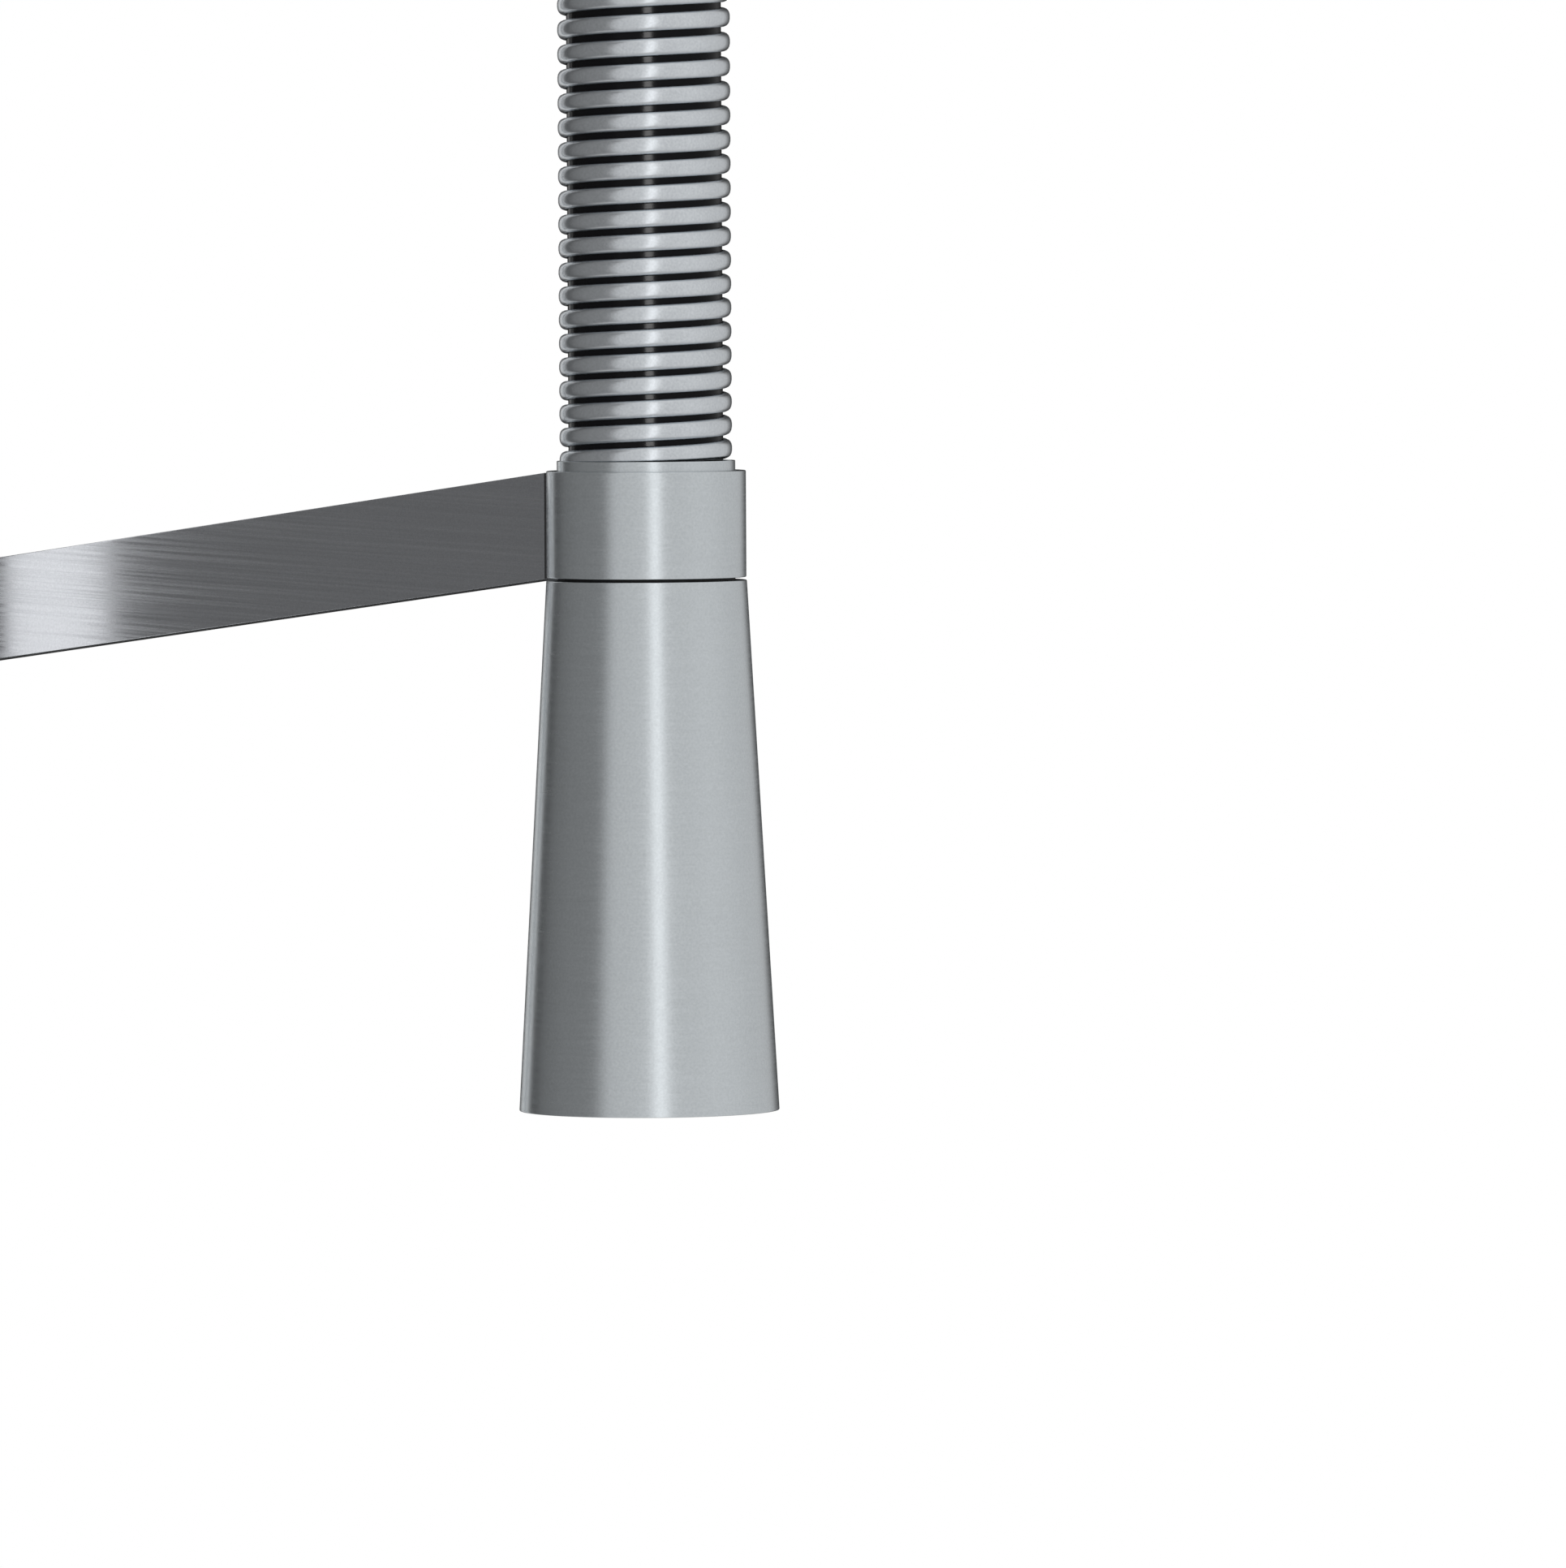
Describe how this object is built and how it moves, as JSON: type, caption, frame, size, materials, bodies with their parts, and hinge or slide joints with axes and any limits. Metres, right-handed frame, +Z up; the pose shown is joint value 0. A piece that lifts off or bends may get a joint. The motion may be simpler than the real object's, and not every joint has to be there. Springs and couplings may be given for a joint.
{
  "type": "pull down kitchen faucet",
  "caption": "Deck faucet with a spring-wrapped hose arching over to a conical spray head that docks in a collar on a flat arm; side lever.",
  "frame": {"origin": "centre of the deck hole at the deck surface, under the foot ring", "axes": "+Z up along the riser, +X along the arm towards the spray head, +Y towards the lever"},
  "size_m": [0.2689, 0.092, 0.5819],
  "materials": {
    "brushed_steel": "fine brushed, satin",
    "spring_steel": "drawn wire, satin",
    "plated_steel": "plain plated",
    "brass": "machined",
    "black_hose": "smooth, glossy",
    "black_rubber": "matt",
    "grey_silicone": "matt",
    "white_plastic": "moulded",
    "ceramic": "lapped"
  },
  "bodies": {
    "base": {"mounting_shank": "brass", "shank_nut": "brass", "rubber_washer": "black_rubber", "clamp_washer": "plated_steel", "base_ring": "brushed_steel", "base_gasket": "black_rubber", "hot_nipple": "brass", "cold_nipple": "brass", "valve_body": "brushed_steel", "swivel_bush": "white_plastic", "retaining_screw": "plated_steel", "cartridge_seal": "black_rubber", "cartridge_base": "white_plastic", "fixed_disc": "ceramic", "cartridge_housing": "white_plastic", "cartridge_nut": "brass", "bonnet": "brushed_steel"},
    "rotor": {"cartridge_rotor": "white_plastic", "stem_pin": "plated_steel"},
    "disc": {"moving_disc": "ceramic"},
    "lever": {"lever_stem": "plated_steel", "handle_hub": "brushed_steel", "handle_lever": "brushed_steel", "handle_screw": "plated_steel", "handle_plug": "grey_silicone"},
    "spout": {"swivel_spigot": "brass", "lower_o_ring": "black_rubber", "upper_o_ring": "black_rubber", "swivel_collar": "brushed_steel", "riser_tube": "brushed_steel", "spring_seat": "brushed_steel", "riser_nipple": "brass", "upper_ferrule": "plated_steel", "arm_hub": "brushed_steel", "hub_screw": "plated_steel", "support_arm": "brushed_steel", "dock_collar": "brushed_steel", "coil_spring": "spring_steel", "spray_hose": "black_hose"},
    "hose_end": {"dock_sleeve": "brushed_steel", "lower_ferrule": "plated_steel", "hose_nipple": "brass", "nipple_seal": "black_rubber"},
    "spray_head": {"head_shell": "brushed_steel", "head_bumper": "black_rubber", "head_nut": "brass", "head_core": "white_plastic", "check_valve": "white_plastic", "flow_disc": "white_plastic", "nozzle_mat": "grey_silicone", "spray_plate": "brushed_steel"}
  },
  "joints": [
    {"name": "spout_swivel", "type": "hinge", "parent": "base", "child": "spout", "pos_m": [0, 0, 0.15], "axis": [0, 0, 1], "continuous": true},
    {"name": "head_pull", "type": "slide", "parent": "spout", "child": "hose_end", "axis": [0, 0, -1], "range_m": [0, 0.12], "stiffness_N_per_m": 60, "springref_m": -0.14, "deforming": ["coil_spring", "spray_hose"]},
    {"name": "head_twist", "type": "hinge", "parent": "hose_end", "child": "spray_head", "pos_m": [0.22, 0, 0.285], "axis": [0, 0, 1], "continuous": true},
    {"name": "lever_temperature", "type": "hinge", "parent": "base", "child": "rotor", "pos_m": [0, 0.033, 0.08], "axis": [0, 1, 0], "range_deg": [-45, 45]},
    {"name": "lever_flow", "type": "hinge", "parent": "rotor", "child": "lever", "pos_m": [0, 0.033, 0.08], "axis": [0, 0, 1], "range_deg": [0, 22]},
    {"name": "disc_slide", "type": "slide", "parent": "rotor", "child": "disc", "axis": [1, 0, 0], "range_m": [0, 0.0034]}
  ],
  "couplings": [
    {"joint": "disc_slide", "follows": "lever_flow", "m_per_rad": 0.0085}
  ]
}
